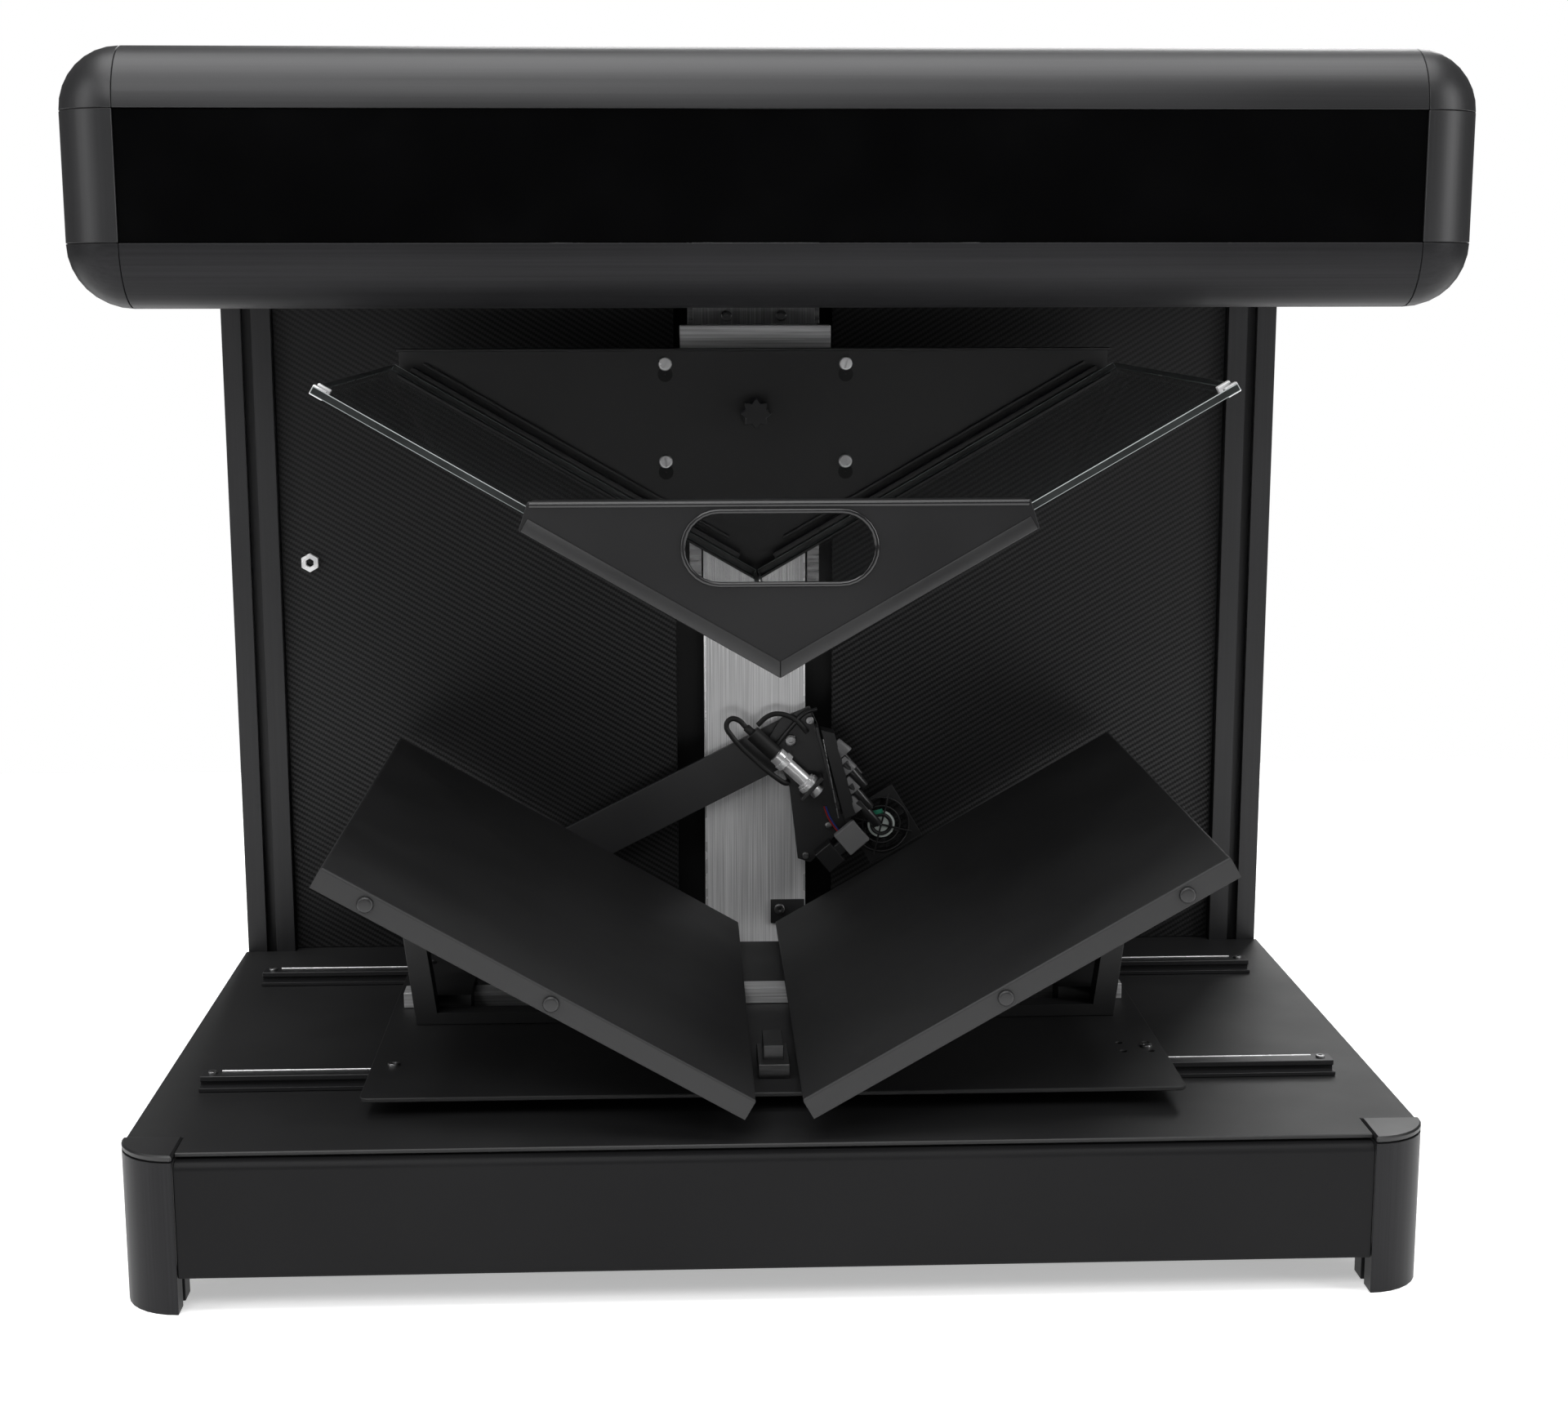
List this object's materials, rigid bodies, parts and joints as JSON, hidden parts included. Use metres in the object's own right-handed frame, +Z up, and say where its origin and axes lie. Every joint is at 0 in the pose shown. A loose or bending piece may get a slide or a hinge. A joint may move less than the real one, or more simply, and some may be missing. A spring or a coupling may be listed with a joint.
{
  "type": "book scanner",
  "caption": "Automatic book scanner with a V-shaped cradle on a sliding carriage, a V-shaped glass platen that lowers from above, a page-turning suction arm and a camera hood.",
  "frame": {"origin": "on the floor under the middle of the whole machine's box", "axes": "+Z up; the front with the cradle faces -Y; +X is to the right as seen from the front"},
  "size_m": [0.892, 0.586, 0.818],
  "materials": {
    "black_anodised": "satin black anodised, dark grey in the light",
    "black_satin_sheet": "satin black coat",
    "black_powder_coat": "fine textured black powder coat",
    "black_plastic": "satin",
    "black_gloss": "high gloss",
    "carbon_look": "fine diagonal carbon weave under a satin coat",
    "brushed_aluminium": "brushed along its length",
    "steel": "bright",
    "grey_plastic": "satin",
    "smoked_glass": "clear polished, very slightly smoked",
    "lamp_white": "diffusing",
    "rubber": "matt"
  },
  "bodies": {
    "base": {"base_plate": "black_powder_coat", "front_beam": "black_satin_sheet", "base_skirt": "black_powder_coat", "front_post_left": "black_anodised", "front_post_right": "black_anodised", "post_cap_left": "black_plastic", "post_cap_right": "black_plastic", "upright_left": "black_anodised", "upright_right": "black_anodised", "back_panel_left": "carbon_look", "back_panel_right": "carbon_look", "rear_cover": "black_powder_coat", "axis_column": "brushed_aluminium", "lift_motor": "black_anodised", "arm_motor": "black_anodised", "front_slide_rail": "black_anodised", "rear_slide_rail": "black_anodised", "hood_top_rail": "black_anodised", "hood_bottom_rail": "black_anodised", "hood_left_rail": "black_anodised", "hood_right_rail": "black_anodised", "hood_corner_top_left": "black_anodised", "hood_corner_bottom_left": "black_anodised", "hood_corner_top_right": "black_anodised", "hood_corner_bottom_right": "black_anodised", "name_panel": "black_gloss", "hood_cover": "black_satin_sheet", "camera_left": "black_plastic", "camera_right": "black_plastic", "lamp_bar_left": "lamp_white", "lamp_bar_right": "lamp_white", "lift_belt": "rubber", "power_inlet": "black_plastic"},
    "platen": {"carriage_saddle": "steel", "carriage_plate": "brushed_aluminium", "platen_bracket": "brushed_aluminium", "platen_back_plate": "black_powder_coat", "glass_left": "smoked_glass", "glass_right": "smoked_glass", "platen_front_plate": "black_powder_coat"},
    "knob": {"star_knob": "black_plastic"},
    "cradle_carriage": {"carriage_sheet": "black_powder_coat", "front_runner": "grey_plastic", "rear_runner": "grey_plastic", "spread_bar": "brushed_aluminium", "spread_clamp": "steel"},
    "half_left": {"cradle_plate_left": "black_powder_coat", "cradle_support_left": "black_satin_sheet"},
    "half_right": {"cradle_plate_right": "black_powder_coat", "cradle_support_right": "black_satin_sheet"},
    "arm": {"arm_bar": "black_anodised"},
    "head": {"head_plate": "black_anodised", "suction_head": "grey_plastic", "vacuum_valve": "grey_plastic", "page_sensor": "steel", "sensor_lead": "rubber", "fan_frame": "black_plastic"},
    "fan": {"fan_rotor": "black_plastic"},
    "drive_pulley": {"pulley_lower": "steel"},
    "return_pulley": {"pulley_upper": "steel"}
  },
  "joints": [
    {"name": "platen_lift", "type": "slide", "parent": "base", "child": "platen", "axis": [0, 0, 1], "range_m": [-0.28, 0]},
    {"name": "drive_pulley_turn", "type": "hinge", "parent": "base", "child": "drive_pulley", "pos_m": [0, 0.273, 0.068], "axis": [0, -1, 0], "range_deg": [-1270, 10]},
    {"name": "return_pulley_turn", "type": "hinge", "parent": "base", "child": "return_pulley", "pos_m": [0, 0.273, 0.77966], "axis": [0, -1, 0], "range_deg": [-1270, 10]},
    {"name": "knob_turn", "type": "hinge", "parent": "platen", "child": "knob", "pos_m": [0, 0.173, 0.57], "axis": [0, -1, 0], "continuous": true},
    {"name": "cradle_float", "type": "slide", "parent": "base", "child": "cradle_carriage", "axis": [1, 0, 0], "range_m": [-0.032, 0.032]},
    {"name": "spine_left", "type": "slide", "parent": "cradle_carriage", "child": "half_left", "axis": [-1, 0, 0], "range_m": [-0.006, 0.024]},
    {"name": "spine_right", "type": "slide", "parent": "cradle_carriage", "child": "half_right", "axis": [1, 0, 0], "range_m": [-0.006, 0.024]},
    {"name": "arm_swing", "type": "hinge", "parent": "base", "child": "arm", "pos_m": [-0.204, 0.226, 0.175], "axis": [0, -1, 0], "range_deg": [-8, 62]},
    {"name": "head_tilt", "type": "hinge", "parent": "arm", "child": "head", "pos_m": [0.02985, 0.213, 0.29313], "axis": [0, -1, 0], "range_deg": [-20, 20]},
    {"name": "fan_spin", "type": "hinge", "parent": "head", "child": "fan", "pos_m": [0.10636, 0.216, 0.22162], "axis": [0, -1, 0], "continuous": true}
  ],
  "couplings": [
    {"joint": "drive_pulley_turn", "follows": "platen_lift", "rad_per_m": 78.431},
    {"joint": "return_pulley_turn", "follows": "platen_lift", "rad_per_m": 78.431},
    {"joint": "spine_right", "follows": "spine_left", "ratio": 1}
  ]
}
